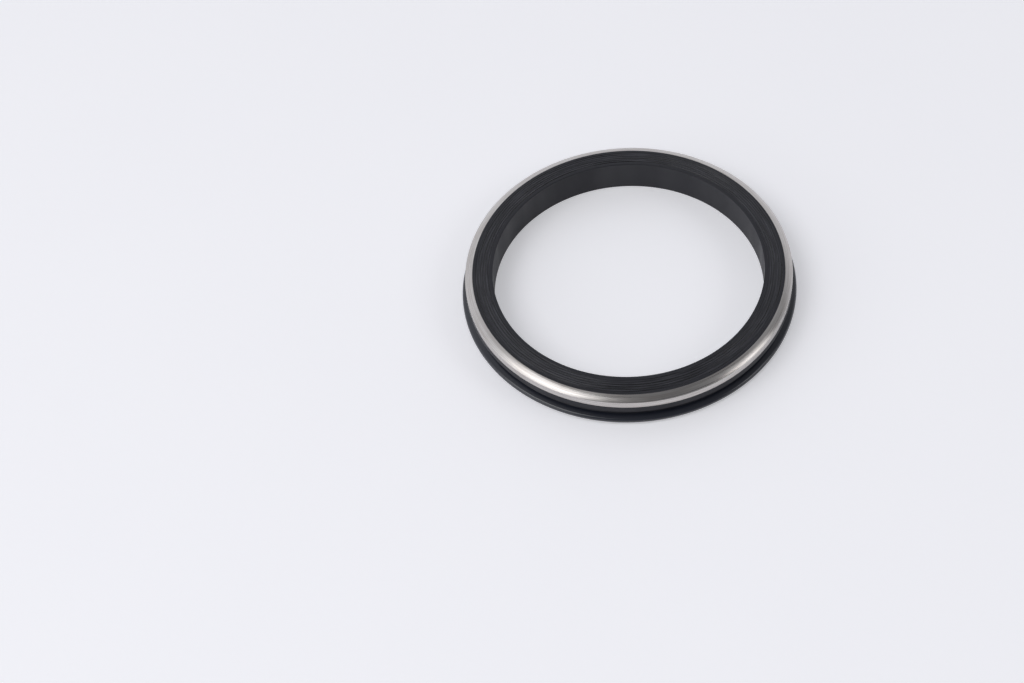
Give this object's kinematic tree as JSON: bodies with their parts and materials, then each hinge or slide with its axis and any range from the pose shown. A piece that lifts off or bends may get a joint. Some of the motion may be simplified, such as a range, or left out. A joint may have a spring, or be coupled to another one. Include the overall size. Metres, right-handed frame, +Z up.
{
  "type": "hammer union seal",
  "caption": "Black rubber sealing ring with a stainless ring bonded into its upper outer corner, a finely grooved top face and a round bead at its foot.",
  "frame": {"origin": "centre of the flat underside, on the bore's axis", "axes": "+Z up the bore's axis, from the bead at the foot to the grooved top face"},
  "size_m": [0.0944, 0.0944, 0.0096],
  "materials": {
    "seal_rubber": "matte, finely turned top face, smoother bead",
    "stainless": "satin, turned"
  },
  "bodies": {
    "root": {"seal_body": "seal_rubber", "support_ring": "stainless"}
  },
  "joints": []
}
